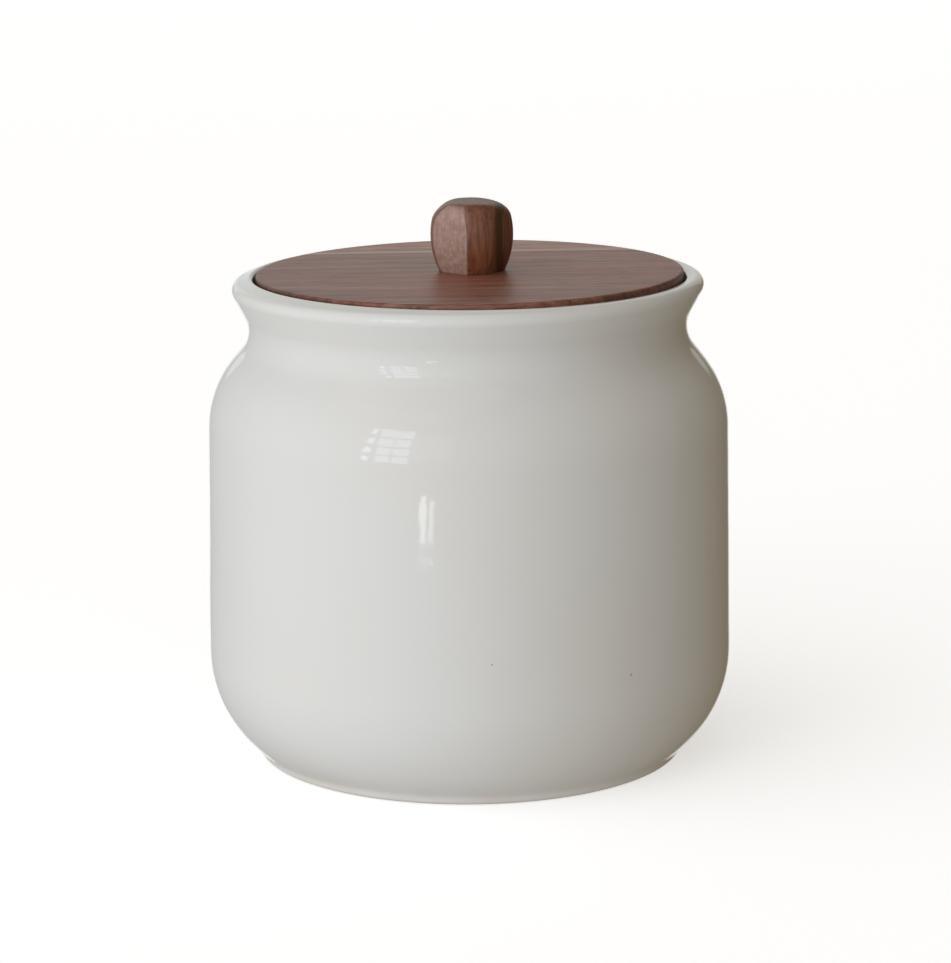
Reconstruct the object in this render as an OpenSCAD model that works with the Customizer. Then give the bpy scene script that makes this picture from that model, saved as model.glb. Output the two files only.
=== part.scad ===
// Lidded sugar bowl: a thrown stoneware pot with a flared rim, and a two-board
// walnut lid that drops into a seat inside the rim.
//
// Units are millimetres. The origin is the centre of the foot ring on the table,
// +Z is up and the front faces -Y.

/* [Pot] */
// Height from the table to the top of the rim
pot_h = 96.3; // [95.5:0.1:98]
// Widest diameter, low on the belly
body_d = 105; // [104:0.5:108]
// Thickness of the clay wall
wall = 4.2; // [3.6:0.1:4.6]
// Height of the inside floor above the table
floor_h = 6.5; // [5:0.5:9]

/* [Pot curves] */
// Radius of the curve between the foot and the belly
belly_round = 24.4; // [23:0.1:26]
// Height of the belly's widest line
belly_h = 21; // [20:0.5:24]
// Diameter at the start of the shoulder
shoulder_d = 103.6; // [103:0.2:104]
// Radius of the shoulder
shoulder_round = 20.7; // [19:0.1:22]
// Height at which the shoulder starts to turn in
shoulder_h = 66.4; // [65:0.1:67]
// Narrowest outside diameter of the neck
neck_d = 87; // [86.8:0.1:88]
// Radius of the hollow curve of the neck
neck_round = 6.7; // [6:0.1:7]
// Height of the narrowest line of the neck
neck_h = 86.3; // [86:0.1:86.8]
// Outside diameter of the flared rim
rim_d = 93.4; // [93:0.2:95]
// Rounding of the rim's outer edge
rim_round = 1.8; // [1.4:0.1:2]

/* [Mouth] */
// Diameter of the seat that the lid drops into
seat_d = 86.6; // [86.4:0.1:87]
// Diameter of the throat below the seat
throat_d = 78.6; // [78.2:0.1:79]
// Depth of the throat, from the seat down to where the inside opens out
throat_depth = 8; // [7:0.5:9]

/* [Foot] */
// Outside diameter of the foot band
foot_d = 86.2; // [86:0.1:87]
// Height of the foot band
foot_band_h = 1.5; // [1.2:0.1:1.6]
// Width of the ring that rests on the table
foot_ring_w = 3.6; // [3:0.1:6]
// Depth of the hollow under the pot
foot_recess = 1.4; // [1:0.1:2.5]

/* [Lid] */
// Diameter of the lid's boards
lid_d = 85.4; // [84.6:0.1:85.8]
// How far the lid stands above the rim
lid_proud = 0.8; // [0.4:0.1:1.4]
// Thickness of the boards outside the step
lid_t = 4.9; // [4:0.1:5.4]
// Easing of the boards' round edges
lid_ease = 0.6; // [0.3:0.1:1]
// Distance of the glued joint behind the lid's centre
glue_y = 24.4; // [20:0.1:30]
// Diameter of the step that fits the throat
step_d = 77.2; // [76.4:0.1:77.6]
// Height of the step
step_h = 6; // [5.5:0.1:7]

/* [Seal ring] */
// Diameter at the bottom of the seal's groove
groove_d = 74; // [73:0.1:75]
// Width of the groove, up and down
groove_w = 2.6; // [2.2:0.1:3]
// Gap between the seal and the throat, all round
seal_gap = 0.1; // [0.05:0.01:0.1]
// Gap between the seal and its groove
seal_play = 0.05; // [0.02:0.01:0.1]

/* [Knob] */
// Largest diameter of the knob's barrel
knob_d = 16.4; // [15.6:0.1:18]
// Height of the knob above the lid
knob_h = 13.9; // [13:0.1:15]
// Height of the knob's widest line above the lid
knob_belly_h = 7.3; // [6.5:0.1:8]
// Radius of the barrel's long curve
knob_curve = 16; // [14:0.5:20]
// Rounding of the knob's top edge
knob_round = 2; // [1.5:0.1:2.5]
// Distance between opposite flats
knob_flats = 14; // [13.4:0.1:15]
// Turn of the flats from facing the front
knob_turn = 37; // [0:1:90]
// Distance of the knob to the right of the lid's centre
knob_off = 0.9; // [0:0.1:2]

/* [Knob screw] */
// Diameter of the screw's shank
screw_d = 3.4; // [3:0.1:4]
// Diameter of the screw's countersunk head
screw_head_d = 7; // [6:0.1:8]
// Length of the screw
screw_l = 19; // [16:0.5:21]
// Width of the cross recess's arms
recess_w = 1.1; // [0.9:0.1:1.4]

/* [Hidden] */

clay_colour = [0.87, 0.86, 0.83];
walnut_colour = [0.42, 0.29, 0.22];
dark_walnut_colour = [0.35, 0.23, 0.17];
silicone_colour = [0.90, 0.90, 0.88];
steel_colour = [0.72, 0.73, 0.75];

lid_top = pot_h + lid_proud;
seat_h = lid_top - lid_t;
step_bottom = seat_h - step_h;
seat_corner = 0.4;
rim_inner_round = 1;
foot_crease = 0.2;
throat_edge = 0.4;
throat_round = 4;
groove_below_seat = 1.4;
groove_top = seat_h - groove_below_seat;
screw_head_sink = 0.3;
screw_head_rim = 0.3;
screw_head_h = (screw_head_d - screw_d) / 2;
screw_bottom = step_bottom + screw_head_sink;
screw_tip_d = 0.6;
screw_tip_h = 2;
recess_depth = 1.4;
board_hole_d = screw_d + 0.6;
sink_d = screw_head_d + 0.4;
knob_hole_d = screw_d + 0.1;
knob_hole_h = screw_bottom + screw_l - lid_top + 1;

// Reach of a cut past the face that it starts from, and a size larger than the whole bowl
past = 1;
whole = 1000;

// Degrees between the points of an outline's arcs, and sides of each kind of round
turn_step = 6;
bowl_sides = 180;
knob_sides = 96;
screw_sides = 48;
lip_sides = 32;

// ---- Outlines made of circles joined by their common tangents ----
//
// A circle is [x, z, r]. The outline runs anticlockwise round the solid. A positive r
// bulges outwards, a negative r is a hollow, and r = 0 is a sharp corner.

// Direction of the outward normal on the straight run from circle a to circle b
function run_normal(a, b) =
    let (
        across = norm([b[0] - a[0], b[1] - a[1]]),
        lean = max(-1, min(1, (a[2] - b[2]) / across))
    )
    atan2(b[1] - a[1], b[0] - a[0]) - acos(lean);

// Turn from normal direction n0 to n1, the way circle c bends
function bend(c, n0, n1) =
    c[2] >= 0 ? (n1 - n0 + 720) % 360 : -((n0 - n1 + 720) % 360);

// Points on circle c, from normal direction n0 to n1
function arc_points(c, n0, n1) =
    c[2] == 0 ? [[c[0], c[1]]] :
    let (turn = bend(c, n0, n1), steps = max(1, ceil(abs(turn) / turn_step)))
    [for (i = [0 : steps])
        let (n = n0 + turn * i / steps)
        [c[0] + c[2] * cos(n), c[1] + c[2] * sin(n)]];

// The whole closed outline
function outline(circles) =
    let (count = len(circles))
    [for (i = [0 : count - 1])
        let (
            before = circles[(i + count - 1) % count],
            here = circles[i],
            after = circles[(i + 1) % count]
        )
        each arc_points(here, run_normal(before, here), run_normal(here, after))];

// ---- Pot ----

pot_circles = [
    [0, foot_recess, 0],
    [foot_d / 2 - foot_ring_w - foot_recess, foot_recess, 0],
    [foot_d / 2 - foot_ring_w, 0, 0],
    [foot_d / 2 - foot_band_h, foot_band_h, foot_band_h],
    [foot_d / 2 + foot_crease, foot_band_h + foot_crease, 0],
    [body_d / 2 - belly_round, belly_h, belly_round],
    [shoulder_d / 2 - shoulder_round, shoulder_h, shoulder_round],
    [neck_d / 2 + neck_round, neck_h, -neck_round],
    [rim_d / 2 - rim_round, pot_h - rim_round, rim_round],
    [seat_d / 2 + rim_inner_round, pot_h - rim_inner_round, rim_inner_round],
    [seat_d / 2 - seat_corner, seat_h + seat_corner, -seat_corner],
    [throat_d / 2 + throat_edge, seat_h - throat_edge, throat_edge],
    [throat_d / 2 + throat_round, seat_h - throat_depth, throat_round],
    [shoulder_d / 2 - shoulder_round, shoulder_h, wall - shoulder_round],
    [body_d / 2 - belly_round, floor_h + belly_round - wall, wall - belly_round],
    [0, floor_h, 0]
];

module pot() {
    color(clay_colour)
        rotate_extrude($fn = bowl_sides)
            polygon(outline(pot_circles));
}

// ---- Lid ----

lid_circles = [
    [0, step_bottom, 0],
    [step_d / 2 - lid_ease, step_bottom + lid_ease, lid_ease],
    [step_d / 2, seat_h, 0],
    [lid_d / 2 - lid_ease, seat_h + lid_ease, lid_ease],
    [lid_d / 2 - lid_ease, lid_top - lid_ease, lid_ease],
    [0, lid_top, 0]
];

// Countersink and clearance hole for the screw
module screw_hole() {
    sink_slope_h = (sink_d - board_hole_d) / 2;
    translate([knob_off, 0, step_bottom - past]) {
        cylinder(h = past + step_h + lid_t + past, d = board_hole_d, $fn = screw_sides);
        cylinder(h = past + screw_head_sink + screw_head_rim, d = sink_d, $fn = screw_sides);
    }
    translate([knob_off, 0, screw_bottom + screw_head_rim])
        cylinder(h = sink_slope_h, d1 = sink_d, d2 = board_hole_d, $fn = screw_sides);
}

module seal_groove() {
    translate([0, 0, groove_top - groove_w])
        difference() {
            cylinder(h = groove_w, d = step_d + 2 * past, $fn = bowl_sides);
            translate([0, 0, -past])
                cylinder(h = groove_w + 2 * past, d = groove_d, $fn = bowl_sides);
        }
}

// Both boards as they are after gluing and turning
module lid_disc() {
    difference() {
        rotate_extrude($fn = bowl_sides)
            polygon(outline(lid_circles));
        seal_groove();
        screw_hole();
    }
}

module lid_back_board() {
    color(dark_walnut_colour)
        intersection() {
            lid_disc();
            translate([-whole / 2, glue_y, 0])
                cube([whole, whole, whole]);
        }
}

module lid_front_board() {
    color(walnut_colour)
        difference() {
            lid_disc();
            translate([-whole / 2, glue_y, 0])
                cube([whole, whole, whole]);
        }
}

// ---- Seal ring ----

// A ribbed silicone band: two soft lips with a hollow between them
module seal_ring() {
    inner_r = groove_d / 2 + seal_play;
    outer_r = throat_d / 2 - seal_gap;
    low = groove_top - groove_w + seal_play;
    ring_h = groove_w - 2 * seal_play;
    lip_r = ring_h / 4;
    color(silicone_colour)
        rotate_extrude($fn = bowl_sides)
            union() {
                translate([inner_r, low])
                    square([outer_r - lip_r - inner_r, ring_h]);
                for (side = [1, 3])
                    translate([outer_r - lip_r, low + side * lip_r])
                        circle(r = lip_r, $fn = lip_sides);
            }
}

// ---- Knob and its screw ----

// The barrel's curve is centred far past the knob's axis
barrel_x = knob_d / 2 - knob_curve;
knob_base_r = barrel_x + sqrt(pow(knob_curve, 2) - pow(knob_belly_h, 2));
knob_edge_z = knob_h - knob_round;
knob_inner_curve = knob_curve - knob_round;
knob_edge_x = barrel_x + sqrt(pow(knob_inner_curve, 2) - pow(knob_edge_z - knob_belly_h, 2));
knob_circles = [
    [0, 0, 0],
    [knob_base_r, 0, 0],
    [barrel_x, knob_belly_h, knob_curve],
    [knob_edge_x, knob_edge_z, knob_round],
    [0, knob_h, 0]
];

module knob() {
    color(dark_walnut_colour)
        translate([knob_off, 0, lid_top])
            difference() {
                intersection() {
                    rotate_extrude($fn = knob_sides)
                        polygon(outline(knob_circles));
                    rotate([0, 0, -knob_turn])
                        translate([-knob_flats / 2, -knob_flats / 2, -past])
                            cube([knob_flats, knob_flats, knob_h + 2 * past]);
                }
                translate([0, 0, -past])
                    cylinder(h = past + knob_hole_h, d = knob_hole_d, $fn = screw_sides);
            }
}

module screw_blank() {
    shank_end = screw_l - screw_tip_h;
    $fn = screw_sides;
    cylinder(h = screw_head_rim, d = screw_head_d);
    translate([0, 0, screw_head_rim]) {
        cylinder(h = screw_head_h, d1 = screw_head_d, d2 = screw_d);
        cylinder(h = shank_end - screw_head_rim, d = screw_d);
    }
    translate([0, 0, shank_end])
        cylinder(h = screw_tip_h, d1 = screw_d, d2 = screw_tip_d);
}

module cross_recess() {
    arm_l = screw_head_d / 2;
    for (turn = [0, 90])
        rotate([0, 0, turn])
            translate([-arm_l / 2, -recess_w / 2, -past])
                cube([arm_l, recess_w, past + recess_depth]);
}

module knob_screw() {
    color(steel_colour)
        translate([knob_off, 0, screw_bottom])
            difference() {
                screw_blank();
                cross_recess();
            }
}

pot();
lid_back_board();
lid_front_board();
seal_ring();
knob();
knob_screw();
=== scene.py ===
"""Sugar bowl: the looks of the stoneware pot, the two-board walnut lid, its knob, seal and screw.

Everything is in metres in the CAD model's frame. Sizes that the CAD nodes' boxes give are read from
them; the radii of curves, which a box can't give, are repeated here from the design.
"""

import math

import bmesh
import bpy
import numpy as np
from mathutils import Matrix, Vector


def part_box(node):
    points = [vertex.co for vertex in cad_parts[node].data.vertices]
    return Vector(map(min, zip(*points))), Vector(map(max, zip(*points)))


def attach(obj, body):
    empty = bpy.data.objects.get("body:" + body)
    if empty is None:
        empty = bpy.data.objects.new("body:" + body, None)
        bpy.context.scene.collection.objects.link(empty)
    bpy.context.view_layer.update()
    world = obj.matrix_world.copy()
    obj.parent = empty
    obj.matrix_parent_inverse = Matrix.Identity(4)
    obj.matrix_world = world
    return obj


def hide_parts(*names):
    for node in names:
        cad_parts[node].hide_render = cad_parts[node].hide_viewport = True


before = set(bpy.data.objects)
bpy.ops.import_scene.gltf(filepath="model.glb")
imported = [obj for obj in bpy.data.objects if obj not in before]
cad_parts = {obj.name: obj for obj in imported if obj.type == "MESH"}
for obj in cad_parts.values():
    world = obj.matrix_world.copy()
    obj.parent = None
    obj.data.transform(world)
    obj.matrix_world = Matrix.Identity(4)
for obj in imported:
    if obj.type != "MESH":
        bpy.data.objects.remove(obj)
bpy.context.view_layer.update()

MM = 0.001
TINY = 1e-6
TAU = 2 * math.pi

# ---- Sizes from the CAD model ----

_, pot_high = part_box("pot")
front_low, front_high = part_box("lid_front_board")
back_low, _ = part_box("lid_back_board")
knob_low, knob_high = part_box("knob")
screw_low, screw_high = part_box("knob_screw")
seal_low, seal_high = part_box("seal_ring")

POT_H = pot_high.z
BELLY_R = pot_high.x
LID_TOP = front_high.z
STEP_BOTTOM = front_low.z
GLUE_Y = back_low.y
KNOB_H = knob_high.z - knob_low.z
KNOB_X = (screw_low.x + screw_high.x) / 2
SCREW_BOTTOM = screw_low.z
SCREW_L = screw_high.z - screw_low.z
SEAL_OUTER_R = seal_high.x
SEAL_BOTTOM = seal_low.z
SEAL_TOP = seal_high.z
SCREW_HEAD_R = (screw_high.x - screw_low.x) / 2

# ---- Curves of the design ----

WALL = 4.2 * MM
FLOOR_H = 6.5 * MM
BELLY_ROUND = 24.4 * MM
BELLY_H = 21 * MM
SHOULDER_R = 51.8 * MM
SHOULDER_ROUND = 20.7 * MM
SHOULDER_H = 66.4 * MM
NECK_R = 43.5 * MM
NECK_ROUND = 6.7 * MM
NECK_H = 86.3 * MM
RIM_R = 46.7 * MM
RIM_ROUND = 1.8 * MM
SEAT_CORNER = 0.4 * MM
THROAT_R = 39.3 * MM
THROAT_EDGE = 0.4 * MM
THROAT_ROUND = 4 * MM
THROAT_DEPTH = 8 * MM
FOOT_R = 43.1 * MM
FOOT_BAND_H = 1.5 * MM
FOOT_CREASE = 0.2 * MM
FOOT_RING_W = 3.6 * MM
FOOT_RECESS = 1.4 * MM
LID_T = 4.9 * MM
LID_EASE = 0.6 * MM
STEP_R = 38.6 * MM
GROOVE_R = 37 * MM
GROOVE_W = 2.6 * MM
GROOVE_TOP_DROP = 1.4 * MM
SEAL_INNER_R = 37.05 * MM
SEAT_H = LID_TOP - LID_T
SCREW_D = 3.4 * MM
SCREW_HEAD_RIM = 0.3 * MM
SCREW_EDGE = 0.1 * MM
SCREW_TIP_H = 2 * MM
THREAD_PITCH = 1.5 * MM
THREAD_DEPTH = 0.5 * MM
RECESS_W = 1.1 * MM
RECESS_DEPTH = 1.4 * MM
BOARD_HOLE_D = 4 * MM
SINK_CLEARANCE = 0.2 * MM

# ---- Small unevenness of the hand-made piece ----

# The thrown body stands a little to the left of its mouth
BODY_LEAN = 0.37 * MM
MOUTH_R = 42.85 * MM
MOUTH_ROUND = 0.8 * MM
MOUTH_RISE = 0.25 * MM
# Slopes of the rim and of the lid, which both rise towards the right
RIM_RISE = 0.0094
LID_RISE = 0.0095
LID_SHOWN_R = 42.35 * MM
LID_SHOWN_TOP = LID_TOP + 0.25 * MM
SWELL_H = 0.02 * MM
SWELL_SEED = 11
THROWING_RING_H = 0.007 * MM
THROWING_RING_PITCH = 7.3 * MM

# ---- The whittled knob ----

KNOB_R = 8.2 * MM
KNOB_BELLY_H = 7.3 * MM
KNOB_CURVE = 16 * MM
# Each whittled flat: where it faces, in degrees from the front to the right, and its distance
KNOB_FLATS = [(-39, 7.05 * MM), (60, 7.2 * MM), (143, 7.0 * MM), (-127, 7.0 * MM)]
FLAT_CURVE = 20 * MM
# Slopes pared off the top: which way they fall, where they start and how steep they are
KNOB_SLOPES = [(1, 3.8 * MM, math.radians(17)), (-1, 4.5 * MM, math.radians(30))]
KNOB_CORNER = 1.5 * MM
# How far the flats run out towards the top
FLAT_RUN_OUT = 0.45 * MM
KNOB_SHOWN_X = KNOB_X - BODY_LEAN
# How deep the knob's foot sits in the lid
KNOB_BEDDED = 0.08 * MM
# How softly side meets side, and slope meets top
SIDE_BLEND = 0.16 * MM
TOP_BLEND = 0.3 * MM
RAY_L = 20 * MM


# ---- Outlines made of circles joined by their common tangents ----


def run_normal(a, b):
    """Direction of the outward normal on the straight run from circle a to circle b."""
    across = math.hypot(b[0] - a[0], b[1] - a[1])
    lean = max(-1.0, min(1.0, (a[2] - b[2]) / across))
    return math.atan2(b[1] - a[1], b[0] - a[0]) - math.acos(lean)


def arc_points(circle, start, end, turn_step):
    """Points on the circle from normal direction start to end, bending the way the circle bends."""
    x, z, r = circle
    if r == 0:
        return [(x, z)]
    turn = (end - start) % TAU if r > 0 else -((start - end) % TAU)
    steps = max(1, math.ceil(abs(turn) / turn_step))
    normals = [start + turn * i / steps for i in range(steps + 1)]
    return [(x + r * math.cos(n), z + r * math.sin(n)) for n in normals]


def outline(circles, turn_step=math.radians(3), run_step=1.2 * MM):
    """The open outline from the first circle to the last, with its straight runs divided."""
    corners = []
    for i, circle in enumerate(circles):
        before = run_normal(circles[i - 1], circle)
        after = run_normal(circle, circles[(i + 1) % len(circles)])
        corners += arc_points(circle, before, after, turn_step)
    points = [corners[0]]
    for corner in corners[1:]:
        length = math.dist(points[-1], corner)
        if length < 1e-7:
            continue
        x0, z0 = points[-1]
        parts = math.ceil(length / run_step)
        for i in range(1, parts + 1):
            points.append((x0 + (corner[0] - x0) * i / parts, z0 + (corner[1] - z0) * i / parts))
    return np.array(points)


# ---- Meshes ----


def make_object(name, verts, faces, material):
    mesh = bpy.data.meshes.new(name)
    mesh.from_pydata([tuple(v) for v in verts], [], faces)
    mesh.update()
    piece = bpy.data.objects.new(name, mesh)
    bpy.context.scene.collection.objects.link(piece)
    mesh.materials.append(material)
    mesh.polygons.foreach_set("use_smooth", [True] * len(mesh.polygons))
    return piece


def revolve(points, around):
    """A turned outline's vertices, ring by ring, and its faces. The outline ends on the axis."""
    angles = np.arange(around) * TAU / around
    ring = np.stack([np.cos(angles), np.sin(angles)], 1)
    verts = [np.array([[0, 0, points[0][1]]])]
    for r, z in points[1:-1]:
        verts.append(np.column_stack([ring * r, np.full(around, z)]))
    verts.append(np.array([[0, 0, points[-1][1]]]))
    verts = np.concatenate(verts)
    rings = len(points) - 2
    last = len(verts) - 1
    faces = []
    for j in range(around):
        k = (j + 1) % around
        faces.append((0, 1 + k, 1 + j))
        for i in range(rings - 1):
            low = 1 + i * around
            high = low + around
            faces.append((low + j, low + k, high + k, high + j))
        top = 1 + (rings - 1) * around
        faces.append((top + j, top + k, last))
    return verts, faces


def toward(azimuth, elevation):
    """Direction from the bowl: azimuth 0 is the front, 90 is the bowl's right."""
    a, e = math.radians(azimuth), math.radians(elevation)
    return Vector((math.sin(a) * math.cos(e), -math.cos(a) * math.cos(e), math.sin(e)))


def smooth_step(low, high, x):
    t = np.clip((x - low) / (high - low), 0, 1)
    return t * t * (3 - 2 * t)


def finish_piece(piece, body, slot_name, *nodes):
    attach(piece, body)
    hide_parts(*nodes)


# ---- Node helpers ----


def new_material(name):
    material = bpy.data.materials.new(name)
    material.use_nodes = True
    tree = material.node_tree
    return material, tree, tree.nodes["Principled BSDF"]


def add_node(tree, kind, inputs=None, **settings):
    """A node with its settings; an input's value is a number, a colour or another node's output."""
    node = tree.nodes.new(kind)
    for key, value in settings.items():
        setattr(node, key, value)
    for key, value in (inputs or {}).items():
        if isinstance(value, bpy.types.NodeSocket):
            tree.links.new(value, node.inputs[key])
        else:
            node.inputs[key].default_value = value
    return node


def math_node(tree, operation, a, b=0.0, c=0.0, clamp=False):
    return add_node(
        tree, "ShaderNodeMath", {0: a, 1: b, 2: c}, operation=operation, use_clamp=clamp
    ).outputs[0]


def object_mm(tree):
    """The piece's own coordinates in millimetres."""
    coords = add_node(tree, "ShaderNodeTexCoord").outputs["Object"]
    return add_node(
        tree, "ShaderNodeVectorMath", {0: coords, 3: 1 / MM}, operation="SCALE"
    ).outputs[0]


def noise(tree, vector, scale, detail=2.0, roughness=0.5, distortion=0.0):
    return add_node(
        tree,
        "ShaderNodeTexNoise",
        {
            "Vector": vector,
            "Scale": scale,
            "Detail": detail,
            "Roughness": roughness,
            "Distortion": distortion,
        },
    ).outputs["Fac"]


def remap(tree, value, low, high, to_low=0.0, to_high=1.0, kind="SMOOTHSTEP"):
    return add_node(
        tree,
        "ShaderNodeMapRange",
        {
            "Value": value,
            "From Min": low,
            "From Max": high,
            "To Min": to_low,
            "To Max": to_high,
        },
        interpolation_type=kind,
    ).outputs["Result"]


def mix_colour(tree, factor, a, b, blend="MIX"):
    node = add_node(tree, "ShaderNodeMix", data_type="RGBA", blend_type=blend)
    for index, value in ((0, factor), (6, a), (7, b)):
        if isinstance(value, bpy.types.NodeSocket):
            tree.links.new(value, node.inputs[index])
        else:
            node.inputs[index].default_value = value
    return node.outputs[2]


def colour(r, g, b):
    return (r, g, b, 1.0)


# ---- Materials ----

# Dark, middle and light tone of each piece of walnut
FRONT_TONES = [(0.112, 0.035, 0.018), (0.245, 0.086, 0.052), (0.380, 0.158, 0.102)]
BACK_TONES = [(0.175, 0.074, 0.047), (0.330, 0.152, 0.106), (0.450, 0.235, 0.172)]
KNOB_TONES = [(0.120, 0.037, 0.014), (0.245, 0.086, 0.036), (0.325, 0.140, 0.070)]

# Pinholes in the glaze: degrees from the front to the right, height and size
PINHOLES = [
    (4.6, 30.6 * MM, 0.28 * MM),
    (36.0, 25.8 * MM, 0.36 * MM),
    (-8.9, 87.6 * MM, 0.34 * MM),
    (118, 52 * MM, 0.3 * MM),
    (-141, 38 * MM, 0.26 * MM),
    (176, 61 * MM, 0.3 * MM),
]


def wall_point(azimuth, height):
    """The point of the pot's outside at that azimuth and height, in millimetres."""
    radius = np.interp(height, [0, BELLY_H, SHOULDER_H], [FOOT_R, BELLY_R, SHOULDER_R])
    if height > SHOULDER_H:
        radius = NECK_R + 0.6 * MM
    way = toward(azimuth, 0)
    return Vector((way.x * radius - BODY_LEAN, way.y * radius, height)) / MM


def glaze_material():
    """Off-white gloss glaze: faint clouds of warmth, soft ripples, pinholes and a bare foot."""
    material, tree, shader = new_material("glaze_off_white")
    place = object_mm(tree)
    height = add_node(tree, "ShaderNodeSeparateXYZ", {0: place}).outputs["Z"]

    clouds = noise(tree, place, 0.028, detail=2, roughness=0.45)
    warm = remap(tree, clouds, 0.35, 0.7, 0.0, 0.55)
    base = mix_colour(tree, warm, colour(0.735, 0.725, 0.695), colour(0.735, 0.705, 0.655))
    # thin glaze over the foot's turn lets the buff clay through
    thin = remap(tree, height, 0.8, 5.0, 1.0, 0.0)
    patchy = remap(tree, noise(tree, place, 0.09, detail=3), 0.45, 0.62)
    thin = math_node(tree, "MULTIPLY", thin, math_node(tree, "MULTIPLY_ADD", patchy, 0.38, 0.0))
    base = mix_colour(tree, thin, base, colour(0.72, 0.62, 0.53))

    pit = None
    for azimuth, level, size in PINHOLES:
        middle = wall_point(azimuth, level)
        away = add_node(
            tree, "ShaderNodeVectorMath", {0: place, 1: middle}, operation="DISTANCE"
        ).outputs["Value"]
        spot = remap(tree, away, 0.35 * size / MM, size / MM, 1.0, 0.0)
        pit = spot if pit is None else math_node(tree, "MAXIMUM", pit, spot)
    base = mix_colour(tree, math_node(tree, "MULTIPLY", pit, 0.6), base, colour(0.30, 0.25, 0.20))

    bare = remap(tree, height, 0.12, 0.45, 1.0, 0.0)
    grit = noise(tree, place, 1.6, detail=5, roughness=0.7)
    clay = mix_colour(tree, grit, colour(0.42, 0.33, 0.24), colour(0.66, 0.56, 0.45))
    base = mix_colour(tree, bare, base, clay)
    tree.links.new(base, shader.inputs["Base Color"])

    smear = noise(tree, place, 0.12, detail=4)
    gloss = remap(tree, smear, 0.3, 0.7, 0.04, 0.07, kind="LINEAR")
    tree.links.new(remap(tree, bare, 0, 1, gloss, 0.85, kind="LINEAR"), shader.inputs["Roughness"])
    shader.inputs["IOR"].default_value = 1.5

    ripple = noise(tree, place, 0.11, detail=1)
    peel = noise(tree, place, 0.42, detail=2)
    relief = math_node(tree, "MULTIPLY_ADD", ripple, 0.6, math_node(tree, "MULTIPLY", peel, 0.12))
    relief = math_node(tree, "MULTIPLY_ADD", pit, -0.5, relief)
    relief = math_node(tree, "MULTIPLY_ADD", math_node(tree, "MULTIPLY", grit, bare), 0.7, relief)
    bump = add_node(
        tree, "ShaderNodeBump", {"Height": relief, "Strength": 1.0, "Distance": 0.1 * MM}
    )
    tree.links.new(bump.outputs[0], shader.inputs["Normal"])
    return material


def walnut_material(name, grain_axis, tones, end_shade, extra=None):
    """Oiled walnut with its grain along grain_axis. tones are dark, middle and light.

    end_shade is how much darker the end grain is. extra changes the base colour further.
    """
    material, tree, shader = new_material(name)
    place = object_mm(tree)
    turn = (0, 0, 0) if grain_axis == "X" else (0, math.radians(90), 0)
    along = add_node(tree, "ShaderNodeMapping", {"Vector": place, "Rotation": turn}).outputs[0]

    def stretched(length, width, offset=0.0):
        return add_node(
            tree,
            "ShaderNodeMapping",
            {
                "Vector": along,
                "Scale": (1 / length, 1 / width, 1 / width),
                "Location": (offset, offset, offset),
            },
        ).outputs[0]

    layers = noise(tree, stretched(110, 4.6), 1.0, detail=3, roughness=0.6, distortion=0.5)
    bands = noise(tree, stretched(34, 1.1, 7), 1.0, detail=3, roughness=0.6)
    fibres = noise(tree, stretched(9, 0.28, 3), 1.0, detail=3, roughness=0.6)
    pores = noise(tree, stretched(3.2, 0.22, 5), 1.0, detail=1)
    hue = noise(tree, stretched(42, 7, 11), 1.0, detail=2)

    tone = math_node(tree, "MULTIPLY", layers, 0.42)
    tone = math_node(tree, "MULTIPLY_ADD", bands, 0.34, tone)
    tone = math_node(tree, "MULTIPLY_ADD", fibres, 0.24, tone)
    ramp = add_node(tree, "ShaderNodeValToRGB", {0: tone})
    stops = ramp.color_ramp.elements
    stops[0].position, stops[0].color = 0.36, colour(*tones[0])
    stops[1].position, stops[1].color = 0.64, colour(*tones[2])
    stops.new(0.5).color = colour(*tones[1])
    rosy = mix_colour(tree, 1.0, ramp.outputs[0], colour(1.06, 0.96, 1.0), "MULTIPLY")
    olive = mix_colour(tree, 1.0, ramp.outputs[0], colour(0.90, 1.07, 1.03), "MULTIPLY")
    base = mix_colour(tree, remap(tree, hue, 0.38, 0.62), rosy, olive)
    dashes = noise(tree, stretched(11, 1.3, 17), 1.0, detail=2, roughness=0.6)
    dash = math_node(tree, "MULTIPLY", remap(tree, dashes, 0.54, 0.63), 0.6)
    base = mix_colour(tree, dash, base, colour(*[t * 0.8 for t in tones[0]]))

    pore_depth = remap(tree, pores, 0.60, 0.68)
    open_bands = remap(tree, bands, 0.42, 0.56, 1.0, 0.35)
    in_pore_bands = math_node(tree, "MULTIPLY", pore_depth, open_bands)
    base = mix_colour(
        tree,
        math_node(tree, "MULTIPLY", in_pore_bands, 0.6),
        base,
        colour(*[t * 0.4 for t in tones[0]]),
    )
    if extra:
        base = extra(tree, place, base, bands, fibres)

    normal = add_node(tree, "ShaderNodeTexCoord").outputs["Normal"]
    facing = add_node(tree, "ShaderNodeSeparateXYZ", {0: normal}).outputs[grain_axis]
    end = remap(tree, math_node(tree, "ABSOLUTE", facing), 0.25, 0.85)
    shade = math_node(tree, "SUBTRACT", 1.0, math_node(tree, "MULTIPLY", end, end_shade))
    shade = add_node(tree, "ShaderNodeCombineXYZ", {0: shade, 1: shade, 2: shade}).outputs[0]
    base = mix_colour(tree, 1.0, base, shade, "MULTIPLY")
    tree.links.new(base, shader.inputs["Base Color"])

    rough = remap(tree, fibres, 0.3, 0.7, 0.36, 0.5, kind="LINEAR")
    tree.links.new(rough, shader.inputs["Roughness"])
    relief = math_node(tree, "MULTIPLY_ADD", in_pore_bands, -0.8, fibres)
    bump = add_node(
        tree, "ShaderNodeBump", {"Height": relief, "Strength": 0.6, "Distance": 0.05 * MM}
    )
    tree.links.new(bump.outputs[0], shader.inputs["Normal"])
    return material


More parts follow.
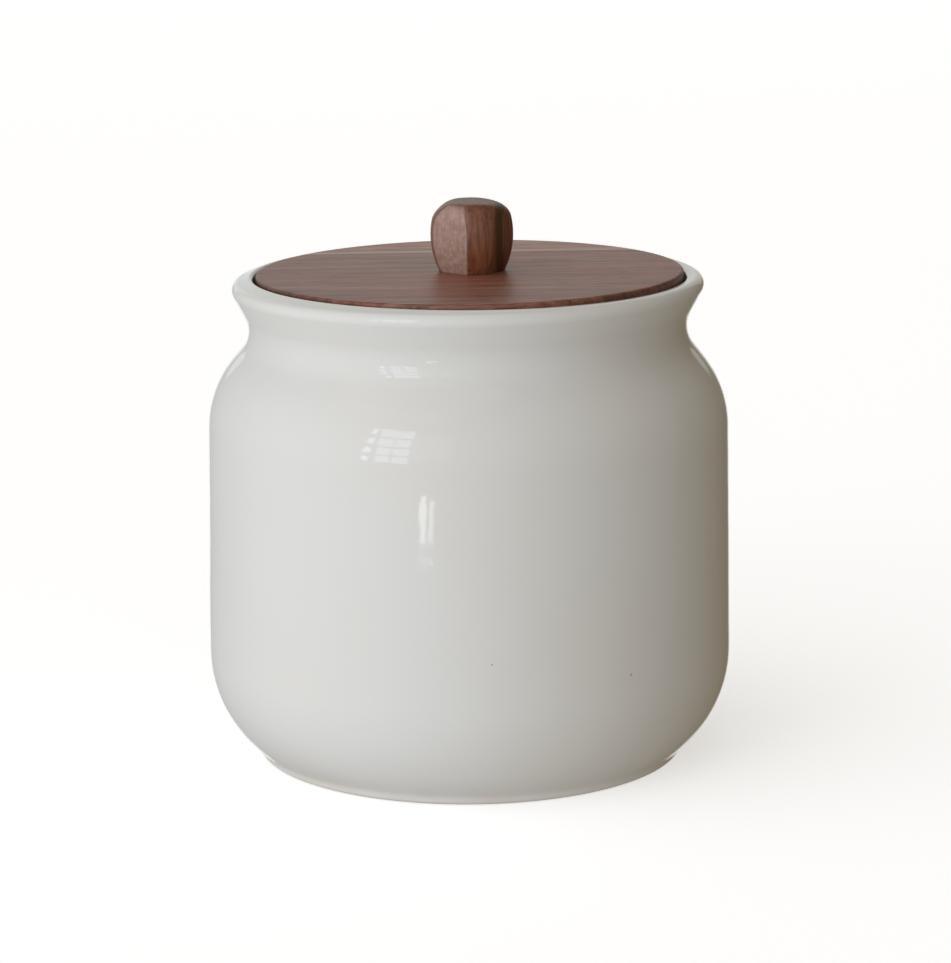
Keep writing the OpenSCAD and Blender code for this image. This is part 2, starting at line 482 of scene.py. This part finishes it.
# Each of the next three functions is an extra change to walnut_material's base colour. It is given
# the node tree, the place in millimetres, the base colour, and the bands and fibres of the grain.


def sapwood_stripe(tree, place, base, bands, fibres):
    """A paler stripe along the back board's glued edge."""
    y = add_node(tree, "ShaderNodeSeparateXYZ", {0: place}).outputs["Y"]
    wander = math_node(tree, "MULTIPLY_ADD", bands, 2.0, -1.0)
    behind = math_node(tree, "SUBTRACT", math_node(tree, "ADD", y, wander), GLUE_Y / MM)
    pale = remap(tree, behind, 1.4, 3.4, 0.9, 0.0)
    return mix_colour(tree, pale, base, colour(0.46, 0.28, 0.235))


def joint_shadow(tree, place, base, bands, fibres):
    """A painted shadow along the front board's glued edge, where the two boards meet: a darker
    band.
    """
    y = add_node(tree, "ShaderNodeSeparateXYZ", {0: place}).outputs["Y"]
    before = math_node(tree, "SUBTRACT", GLUE_Y / MM, y)
    dark = remap(tree, before, 0.4, 2.6, 0.45, 0.0)
    return mix_colour(tree, dark, base, colour(*FRONT_TONES[0]))


def knob_sheen_and_shade(tree, place, base, bands, fibres):
    """Painted sheen on the front left flat, which faces the light, and painted shade down the right
    side.
    """
    normal = add_node(tree, "ShaderNodeTexCoord").outputs["Normal"]
    level = add_node(
        tree, "ShaderNodeVectorMath", {0: normal, 1: (1, 1, 0)}, operation="MULTIPLY"
    ).outputs[0]
    level = add_node(tree, "ShaderNodeVectorMath", {0: level}, operation="NORMALIZE").outputs[0]
    way = toward(KNOB_FLATS[0][0], 0)
    facing = add_node(
        tree, "ShaderNodeVectorMath", {0: level, 1: way}, operation="DOT_PRODUCT"
    ).outputs["Value"]
    up = add_node(tree, "ShaderNodeSeparateXYZ", {0: normal}).outputs["Z"]
    # painted sheen: the flat that faces the light gets a pale mottled colour
    flat = math_node(
        tree, "MULTIPLY", remap(tree, facing, 0.90, 0.975), remap(tree, up, 0.72, 0.97, 1.0, 0.0)
    )
    blotches = noise(tree, place, 0.8, detail=3, roughness=0.6)
    blotched = math_node(tree, "MULTIPLY", blotches, 0.55)
    grain = math_node(tree, "MULTIPLY_ADD", fibres, 0.45, blotched)
    pale_sheen = mix_colour(
        tree, remap(tree, grain, 0.40, 0.62), colour(0.35, 0.212, 0.163), colour(0.49, 0.322, 0.268)
    )
    base = mix_colour(tree, math_node(tree, "MULTIPLY", flat, 0.92), base, pale_sheen)
    # painted shade: a dark band down the knob's right side, away from the light
    x = add_node(tree, "ShaderNodeSeparateXYZ", {0: place}).outputs["X"]
    wander = math_node(tree, "MULTIPLY_ADD", bands, 1.0, -0.5)
    across = math_node(tree, "SUBTRACT", math_node(tree, "ADD", x, wander), KNOB_SHOWN_X / MM)
    dark = remap(tree, across, 4.1, 5.2)
    faded = remap(tree, across, 5.9, 6.6, 1.0, 0.15)
    dark = math_node(tree, "MULTIPLY", dark, math_node(tree, "MULTIPLY", faded, 0.9))
    return mix_colour(tree, dark, base, colour(0.040, 0.014, 0.006))


def silicone_material():
    material, tree, shader = new_material("silicone_clear_white")
    place = object_mm(tree)
    dust = noise(tree, place, 0.8, detail=3)
    base = mix_colour(tree, dust, colour(0.80, 0.80, 0.77), colour(0.88, 0.88, 0.86))
    tree.links.new(base, shader.inputs["Base Color"])
    tree.links.new(remap(tree, dust, 0.3, 0.7, 0.4, 0.55), shader.inputs["Roughness"])
    return material


def steel_material():
    material, tree, shader = new_material("zinc_steel")
    place = object_mm(tree)
    marks = noise(tree, place, 3.0, detail=4)
    base = mix_colour(tree, marks, colour(0.52, 0.53, 0.55), colour(0.70, 0.71, 0.72))
    tree.links.new(base, shader.inputs["Base Color"])
    tree.links.new(remap(tree, marks, 0.3, 0.7, 0.25, 0.4), shader.inputs["Roughness"])
    shader.inputs["Metallic"].default_value = 1.0
    return material


# ---- Pot ----

AROUND = 288
SCREW_AROUND = 64
POT_CIRCLES = [
    (0, FOOT_RECESS, 0),
    (FOOT_R - FOOT_RING_W - FOOT_RECESS, FOOT_RECESS, 0),
    (FOOT_R - FOOT_RING_W, 0, 0),
    (FOOT_R - FOOT_BAND_H, FOOT_BAND_H, FOOT_BAND_H),
    (FOOT_R + FOOT_CREASE, FOOT_BAND_H + FOOT_CREASE, 0),
    (BELLY_R - BELLY_ROUND, BELLY_H, BELLY_ROUND),
    (SHOULDER_R - SHOULDER_ROUND, SHOULDER_H, SHOULDER_ROUND),
    (NECK_R + NECK_ROUND, NECK_H, -NECK_ROUND),
    (RIM_R - RIM_ROUND, POT_H - RIM_ROUND, RIM_ROUND),
    (MOUTH_R + MOUTH_ROUND, POT_H + MOUTH_RISE - MOUTH_ROUND, MOUTH_ROUND),
    (MOUTH_R - SEAT_CORNER, SEAT_H + SEAT_CORNER, -SEAT_CORNER),
    (THROAT_R + THROAT_EDGE, SEAT_H - THROAT_EDGE, THROAT_EDGE),
    (THROAT_R + THROAT_ROUND, SEAT_H - THROAT_DEPTH, THROAT_ROUND),
    (SHOULDER_R - SHOULDER_ROUND, SHOULDER_H, WALL - SHOULDER_ROUND),
    (BELLY_R - BELLY_ROUND, FLOOR_H + BELLY_ROUND - WALL, WALL - BELLY_ROUND),
    (0, FLOOR_H, 0),
]


def outside_share(points):
    """1 on the pot's outside, falling to 0 across the top of the lip and 0 all over the inside."""
    radius, height = points.T
    foot = int(np.argmax(radius > FOOT_R - FOOT_RING_W - TINY))
    rim = int(np.argmax(np.where(height > NECK_H, radius, 0)))
    top = int(np.argmax(height))
    share = np.ones(len(points))
    share[:foot] = 0
    share[rim:] = smooth_step(MOUTH_R + MOUTH_ROUND, RIM_R - RIM_ROUND, radius[rim:])
    share[top:] = 0
    return share


def hand_waves(verts, amplitude, seed):
    """Small soft unevenness of a hand-finished surface, the same in every run."""
    rng = np.random.default_rng(seed)
    angle = np.arctan2(verts[:, 1], verts[:, 0])
    total = np.zeros(len(verts))
    waves = 26
    for _ in range(waves):
        lobes = rng.integers(0, 13)
        pitch = rng.uniform(16, 60) * MM
        phase = rng.uniform(0, TAU)
        total += np.sin(lobes * angle + TAU * verts[:, 2] / pitch + phase)
    return amplitude * total / math.sqrt(waves)


def make_pot():
    points = outline(POT_CIRCLES)
    verts, faces = revolve(points, AROUND)
    share = outside_share(points)
    share = np.concatenate([share[:1], np.repeat(share[1:-1], AROUND), share[-1:]])
    radius = np.hypot(verts[:, 0], verts[:, 1])
    radius[radius == 0] = 1
    above_foot = smooth_step(0, 6 * MM, verts[:, 2])
    swell = hand_waves(verts, SWELL_H, SWELL_SEED) * share * above_foot
    spiral = TAU * verts[:, 2] / THROWING_RING_PITCH + np.arctan2(verts[:, 1], verts[:, 0])
    swell += THROWING_RING_H * np.sin(spiral) * share * above_foot
    verts[:, :2] *= (1 + swell / radius)[:, None]
    near_rim = smooth_step(0.80 * POT_H, 0.92 * POT_H, verts[:, 2])
    verts[:, 2] += RIM_RISE * verts[:, 0] * near_rim * share
    verts[:, 0] -= BODY_LEAN * share
    piece = make_object("pot_glazed", verts, faces, glaze_material())
    finish_piece(piece, "pot", "glaze", "pot")


# ---- Lid ----

LID_CIRCLES = [
    (0, STEP_BOTTOM, 0),
    (STEP_R - LID_EASE, STEP_BOTTOM + LID_EASE, LID_EASE),
    (STEP_R, SEAT_H - GROOVE_TOP_DROP - GROOVE_W, 0),
    (GROOVE_R, SEAT_H - GROOVE_TOP_DROP - GROOVE_W, 0),
    (GROOVE_R, SEAT_H - GROOVE_TOP_DROP, 0),
    (STEP_R, SEAT_H - GROOVE_TOP_DROP, 0),
    (STEP_R, SEAT_H, 0),
    (LID_SHOWN_R - LID_EASE, SEAT_H + LID_EASE, LID_EASE),
    (LID_SHOWN_R - LID_EASE, LID_SHOWN_TOP - LID_EASE, LID_EASE),
    (0, LID_SHOWN_TOP, 0),
]


def sharpen(piece, angle=math.radians(40)):
    """Edges sharper than the angle keep a crisp shading."""
    mesh = bmesh.new()
    mesh.from_mesh(piece.data)
    for edge in mesh.edges:
        edge.smooth = len(edge.link_faces) == 2 and edge.calc_face_angle(0) < angle
    mesh.to_mesh(piece.data)
    mesh.free()


def cut_board(name, keep_back, material):
    """One board of the turned disc: its part behind or in front of the glued joint."""
    points = outline(LID_CIRCLES, run_step=2.5 * MM)
    verts, faces = revolve(points, AROUND)
    top = smooth_step(SEAT_H + LID_EASE, LID_SHOWN_TOP - LID_EASE, verts[:, 2])
    verts[:, 2] += LID_RISE * verts[:, 0] * top
    piece = make_object(name, verts, faces, material)
    mesh = bmesh.new()
    mesh.from_mesh(piece.data)
    cut = bmesh.ops.bisect_plane(
        mesh,
        geom=mesh.verts[:] + mesh.edges[:] + mesh.faces[:],
        plane_co=(0, GLUE_Y, 0),
        plane_no=(0, 1, 0),
        clear_inner=keep_back,
        clear_outer=not keep_back,
    )
    rim = [e for e in cut["geom_cut"] if isinstance(e, bmesh.types.BMEdge)]
    made = bmesh.ops.triangle_fill(mesh, use_beauty=True, edges=rim)
    for element in made["geom"]:
        if isinstance(element, bmesh.types.BMFace):
            element.smooth = False
    bmesh.ops.recalc_face_normals(mesh, faces=mesh.faces[:])
    mesh.to_mesh(piece.data)
    mesh.free()
    sharpen(piece)
    return piece


def subtract(piece, cutter):
    """Cut the cutter's shape out of the piece, then drop the cutter."""
    modifier = piece.modifiers.new("cut", "BOOLEAN")
    modifier.object = cutter
    modifier.solver = "EXACT"
    bpy.context.view_layer.update()
    graph = bpy.context.evaluated_depsgraph_get()
    piece.data = bpy.data.meshes.new_from_object(piece.evaluated_get(graph))
    piece.modifiers.clear()
    bpy.data.objects.remove(cutter)


def drill_screw_hole(board, material):
    """The clearance hole and the countersink for the knob's screw."""
    hole_r = BOARD_HOLE_D / 2
    sink_r = SCREW_HEAD_R + SINK_CLEARANCE
    slope_bottom = SCREW_BOTTOM + SCREW_HEAD_RIM
    past = 1 * MM
    points = [
        (0, STEP_BOTTOM - past),
        (sink_r, STEP_BOTTOM - past),
        (sink_r, slope_bottom),
        (hole_r, slope_bottom + sink_r - hole_r),
        (hole_r, LID_SHOWN_TOP + past),
        (0, LID_SHOWN_TOP + past),
    ]
    verts, faces = revolve(points, SCREW_AROUND)
    verts[:, 0] += KNOB_X
    subtract(board, make_object("screw_hole", verts, faces, material))


def make_lid():
    front_walnut = walnut_material("walnut_front", "X", FRONT_TONES, 0.4, joint_shadow)
    front = cut_board("lid_front_walnut", False, front_walnut)
    drill_screw_hole(front, front_walnut)
    sharpen(front)
    finish_piece(front, "lid", "walnut_front_board", "lid_front_board")
    back_walnut = walnut_material("walnut_back", "X", BACK_TONES, 0.4, sapwood_stripe)
    back = cut_board("lid_back_walnut", True, back_walnut)
    finish_piece(back, "lid", "walnut_back_board", "lid_back_board")


# ---- Knob ----


def smooth_max(values, width):
    """The largest of several arrays, with the change from one to the next softened."""
    stack = np.stack(values) / width
    high = stack.max(0)
    return width * (high + np.log(np.exp(stack - high).sum(0)))


def knob_excess(p):
    """How far points lie outside the whittled knob, in metres, about its base centre."""
    r = np.hypot(p[:, 0], p[:, 1])
    barrel = np.hypot(r - (KNOB_R - KNOB_CURVE), p[:, 2] - KNOB_BELLY_H) - KNOB_CURVE
    sides = [barrel]
    run_out = FLAT_RUN_OUT * smooth_step(KNOB_BELLY_H, KNOB_H, p[:, 2])
    for azimuth, distance in KNOB_FLATS:
        way = toward(azimuth, 0)
        out = p[:, 0] * way.x + p[:, 1] * way.y
        flat = np.hypot(out - distance + FLAT_CURVE, p[:, 2] - KNOB_BELLY_H) - FLAT_CURVE
        sides.append(flat - run_out)
    side = smooth_max(sides, SIDE_BLEND) + KNOB_CORNER
    above = p[:, 2] - KNOB_H
    tops = [above]
    for sign, start, slope in KNOB_SLOPES:
        tops.append((sign * p[:, 0] - start) * math.sin(slope) + above * math.cos(slope))
    top = smooth_max(tops, TOP_BLEND) + KNOB_CORNER
    rounded = np.hypot(np.maximum(side, 0), np.maximum(top, 0)) - KNOB_CORNER
    deep = np.minimum(np.maximum(side, top), 0)
    return np.maximum(rounded + deep, -p[:, 2])


def make_knob():
    """The knob's surface, found along rays from its middle."""
    middle = np.array([0, 0, KNOB_H / 2])
    rows, columns = 150, 240
    polar = np.linspace(0, math.pi, rows + 1)[1:-1]
    turn = np.arange(columns) * TAU / columns
    lat, lon = np.meshgrid(polar, turn, indexing="ij")
    rays = np.stack([np.sin(lat) * np.cos(lon), np.sin(lat) * np.sin(lon), -np.cos(lat)], -1)
    rays = np.concatenate([[[0, 0, -1]], rays.reshape(-1, 3), [[0, 0, 1]]])
    near = np.zeros(len(rays))
    far = np.full(len(rays), RAY_L)
    for _ in range(32):
        half = (near + far) / 2
        inside = knob_excess(middle + rays * half[:, None]) < 0
        near = np.where(inside, half, near)
        far = np.where(inside, far, half)
    verts = middle + rays * near[:, None]
    verts += np.array([KNOB_SHOWN_X, 0, LID_SHOWN_TOP - KNOB_BEDDED])
    faces = []
    rings = rows - 1
    for j in range(columns):
        k = (j + 1) % columns
        faces.append((0, 1 + k, 1 + j))
        for i in range(rings - 1):
            low = 1 + i * columns
            faces.append((low + j, low + k, low + columns + k, low + columns + j))
        top = 1 + (rings - 1) * columns
        faces.append((top + j, top + k, len(verts) - 1))
    walnut = walnut_material("walnut_knob", "Z", KNOB_TONES, 0.2, knob_sheen_and_shade)
    piece = make_object("knob_walnut", verts, faces, walnut)
    finish_piece(piece, "lid", "walnut_knob", "knob")


# ---- Seal ring and screw ----


def make_seal():
    """A ring with two round lips that press on the throat."""
    lip_r = (SEAL_TOP - SEAL_BOTTOM) / 4
    points = [(SEAL_INNER_R, SEAL_TOP), (SEAL_INNER_R, SEAL_BOTTOM)]
    for level in (SEAL_BOTTOM + lip_r, SEAL_TOP - lip_r):
        for turn in np.linspace(-math.pi / 2, math.pi / 2, 17):
            reach = SEAL_OUTER_R - lip_r + lip_r * math.cos(turn)
            points.append((reach, level + lip_r * math.sin(turn)))
    points = np.array(points)
    angles = np.arange(AROUND) * TAU / AROUND
    x = np.outer(np.cos(angles), points[:, 0])
    y = np.outer(np.sin(angles), points[:, 0])
    z = np.tile(points[:, 1], (AROUND, 1))
    verts = np.stack([x, y, z], -1).reshape(-1, 3)
    count = len(points)
    faces = []
    for j in range(AROUND):
        here = j * count
        there = (j + 1) % AROUND * count
        for i in range(count):
            k = (i + 1) % count
            faces.append((here + i, there + i, there + k, here + k))
    piece = make_object("seal_silicone", verts, faces, silicone_material())
    sharpen(piece)
    finish_piece(piece, "seal", "silicone", "seal_ring")


def screw_thread(verts):
    """Press a helical thread into the shank of a screw that stands on its head at the origin."""
    pitch = THREAD_PITCH
    height = verts[:, 2]
    turn = np.arctan2(verts[:, 1], verts[:, 0]) / TAU
    phase = (height / pitch - turn) % 1
    valley = np.clip(1 - np.abs(2 * phase - 1) * 1.5, 0, 1)
    start = SCREW_HEAD_R + pitch
    cut = smooth_step(start, start + pitch, height)
    cut *= smooth_step(SCREW_L, SCREW_L - 1.5 * SCREW_TIP_H, height)
    radius = np.hypot(verts[:, 0], verts[:, 1])
    radius[radius == 0] = 1
    verts[:, :2] *= (1 - THREAD_DEPTH * (1 - valley) * cut / radius)[:, None]


def make_screw():
    steel = steel_material()
    shank_r = SCREW_D / 2
    head_h = SCREW_HEAD_R - shank_r
    shank_top = SCREW_L - SCREW_TIP_H
    tip_r = 0.3 * MM
    tip_round = 0.1 * MM
    ring_step = THREAD_PITCH / 12
    points = [
        (0, 0),
        (SCREW_HEAD_R - SCREW_EDGE, 0),
        (SCREW_HEAD_R, SCREW_EDGE),
        (SCREW_HEAD_R, SCREW_HEAD_RIM),
    ]
    for height in np.arange(SCREW_HEAD_RIM + head_h, shank_top, ring_step):
        points.append((shank_r, height))
    points += [(shank_r, shank_top), (tip_r, SCREW_L - tip_round), (0, SCREW_L)]
    verts, faces = revolve(points, SCREW_AROUND)
    screw_thread(verts)
    piece = make_object("knob_screw_zinc", verts, faces, steel)
    arm = SCREW_HEAD_R / 2
    for turn in (0, math.pi / 2):
        half_l = arm * abs(math.cos(turn)) + RECESS_W / 2 * abs(math.sin(turn))
        half_w = arm * abs(math.sin(turn)) + RECESS_W / 2 * abs(math.cos(turn))
        corners = [
            (x * half_l, y * half_w, z)
            for z in (-RECESS_DEPTH, RECESS_DEPTH)
            for x, y in ((-1, -1), (1, -1), (1, 1), (-1, 1))
        ]
        sides = [(0, 3, 2, 1), (4, 5, 6, 7), (0, 1, 5, 4), (1, 2, 6, 5), (2, 3, 7, 6), (3, 0, 4, 7)]
        subtract(piece, make_object("recess_arm", corners, sides, steel))
    piece.data.transform(Matrix.Translation((KNOB_X, 0, SCREW_BOTTOM)))
    sharpen(piece)
    finish_piece(piece, "lid", "steel", "knob_screw")


# ---- Floor, lights and camera ----


BRIGHT_WAY = (-50, 3)
BRIGHT_TONE = colour(1.31, 1.345, 1.41)
DIM_TONE = colour(0.178, 0.142, 0.085)
SIDE_GLOW_WAY = (-152, -2)
SIDE_GLOW_TONE = colour(0.52, 0.53, 0.525)
PANE_TINT = (0.84, 0.95, 1.06)
BACKDROP_TINT = (0.92, 1.0, 1.04)
NEAR_WHITE = (0.98, 1.0, 1.0)
# The window as the bowl sees it, in degrees: two columns of panes and a bright edge to their left
WINDOW_ROWS = 4
WINDOW_LOW = 4
WINDOW_ROW_H = 8.8
WINDOW_EDGE = -45
WINDOW_COLUMNS = (-37.2, -29.4)


def make_floor():
    """A pale floor that takes the bowl's soft shadow. The room alone lights the bowl."""
    half = 4.0
    verts = [(-half, -half, 0), (half, -half, 0), (half, half, 0), (-half, half, 0)]
    material, _, shader = new_material("floor_pale")
    shader.inputs["Base Color"].default_value = colour(0.8, 0.8, 0.8)
    shader.inputs["Roughness"].default_value = 0.9
    shader.inputs["Specular IOR Level"].default_value = 0.0
    shader.inputs["Emission Color"].default_value = colour(1.0, 1.0, 1.0)
    shader.inputs["Emission Strength"].default_value = 0.53
    floor = make_object("floor", verts, [(0, 1, 2, 3)], material)
    floor.visible_diffuse = False
    floor.visible_glossy = False
    floor.visible_shadow = False


def soft_panel(name, azimuth, elevation, wide, tall, radiance, tint):
    """A glowing panel that faces the bowl. wide and tall are degrees as the bowl sees it."""
    distance = 3.2
    lamp = bpy.data.lights.new(name, "AREA")
    lamp.shape = "RECTANGLE"
    lamp.size = 2 * distance * math.tan(math.radians(wide / 2))
    lamp.size_y = 2 * distance * math.tan(math.radians(tall / 2))
    lamp.energy = radiance * math.pi * lamp.size * lamp.size_y
    lamp.color = tint
    holder = bpy.data.objects.new(name, lamp)
    bpy.context.scene.collection.objects.link(holder)
    way = toward(azimuth, elevation)
    holder.location = Vector((0, 0, POT_H / 2)) + way * distance
    holder.rotation_mode = "QUATERNION"
    holder.rotation_quaternion = way.to_track_quat("Z", "Y")
    holder.visible_camera = False


def make_room():
    """A soft room: bright and cool towards the front left, dim and warm behind on the right.

    A soft glow behind on the left brightens the bowl's left edge.
    """
    world = bpy.data.worlds.new("room")
    bpy.context.scene.world = world
    world.use_nodes = True
    tree = world.node_tree
    way = add_node(tree, "ShaderNodeTexCoord").outputs["Generated"]
    facing = add_node(
        tree, "ShaderNodeVectorMath", {0: way, 1: toward(*BRIGHT_WAY)}, operation="DOT_PRODUCT"
    ).outputs["Value"]
    share = remap(tree, facing, -0.63, 1.69)
    side = add_node(
        tree, "ShaderNodeVectorMath", {0: way, 1: toward(*SIDE_GLOW_WAY)}, operation="DOT_PRODUCT"
    ).outputs["Value"]
    glow = remap(tree, side, 0.6, 1.0, 0.0, 0.95)
    tone = mix_colour(tree, share, DIM_TONE, BRIGHT_TONE)
    tone = mix_colour(tree, glow, tone, SIDE_GLOW_TONE)
    tree.links.new(tone, tree.nodes["Background"].inputs["Color"])


def table_glint(azimuth, reach, width, length, radiance):
    """A streak of window light on the table, in front of the bowl and below the picture."""
    lamp = bpy.data.lights.new("table_glint", "AREA")
    lamp.shape = "RECTANGLE"
    lamp.size = width
    lamp.size_y = length
    lamp.energy = radiance * math.pi * width * length
    holder = bpy.data.objects.new("table_glint", lamp)
    bpy.context.scene.collection.objects.link(holder)
    turn = math.radians(azimuth)
    holder.location = (math.sin(turn) * reach, -math.cos(turn) * reach, 3 * MM)
    holder.rotation_euler = (math.pi, 0, turn)
    holder.visible_camera = False


def make_lights():
    make_room()
    for row in range(WINDOW_ROWS):
        level = WINDOW_LOW + WINDOW_ROW_H * row
        soft_panel(f"window_edge_{row}", WINDOW_EDGE, level, 2.8, 5, 3.6, PANE_TINT)
        for column, azimuth in enumerate(WINDOW_COLUMNS):
            soft_panel(f"window_pane_{column}_{row}", azimuth, level, 6.6, 7.2, 2.4, PANE_TINT)
    soft_panel("pale_wall", -17, 18, 20, 26, 0.35, PANE_TINT)
    soft_panel("backdrop", 180, 22, 52, 40, 0.36, BACKDROP_TINT)
    soft_panel("far_table", 180, -12, 28, 28, 0.42, NEAR_WHITE)
    soft_panel("ceiling", -50, 72, 50, 50, 0.28, NEAR_WHITE)
    table_glint(-18.3, 0.333, 0.014, 0.082, 4.4)
    table_glint(-15.1, 0.325, 0.012, 0.066, 3.2)


def make_camera():
    """The viewpoint of a long lens a little above the bowl, 0.70 m from its middle."""
    distance = 0.7042
    elevation = math.radians(12.729)
    roll = math.radians(-0.354)
    sensor = 36.0
    # the lens's length as a share of the sensor's width
    focal_share = 3.6353
    aim = Vector((0, 0, 48 * MM))
    forward = Vector((0, math.cos(elevation), -math.sin(elevation)))
    right = Vector((1, 0, 0))
    up = right.cross(forward)
    rolled_right = math.cos(roll) * right + math.sin(roll) * up
    rolled_up = -math.sin(roll) * right + math.cos(roll) * up
    data = bpy.data.cameras.new("camera")
    data.sensor_width = sensor
    data.lens = sensor * focal_share
    data.shift_x = 0.00475
    data.shift_y = 0.0330
    camera = bpy.data.objects.new("camera", data)
    bpy.context.scene.collection.objects.link(camera)
    axes = Matrix((rolled_right, rolled_up, -forward)).transposed().to_4x4()
    camera.matrix_world = Matrix.Translation(aim - forward * distance) @ axes
    bpy.context.scene.camera = camera


make_pot()
make_lid()
make_knob()
make_seal()
make_screw()
make_floor()
make_lights()
make_camera()
bpy.context.scene.view_settings.view_transform = "Standard"
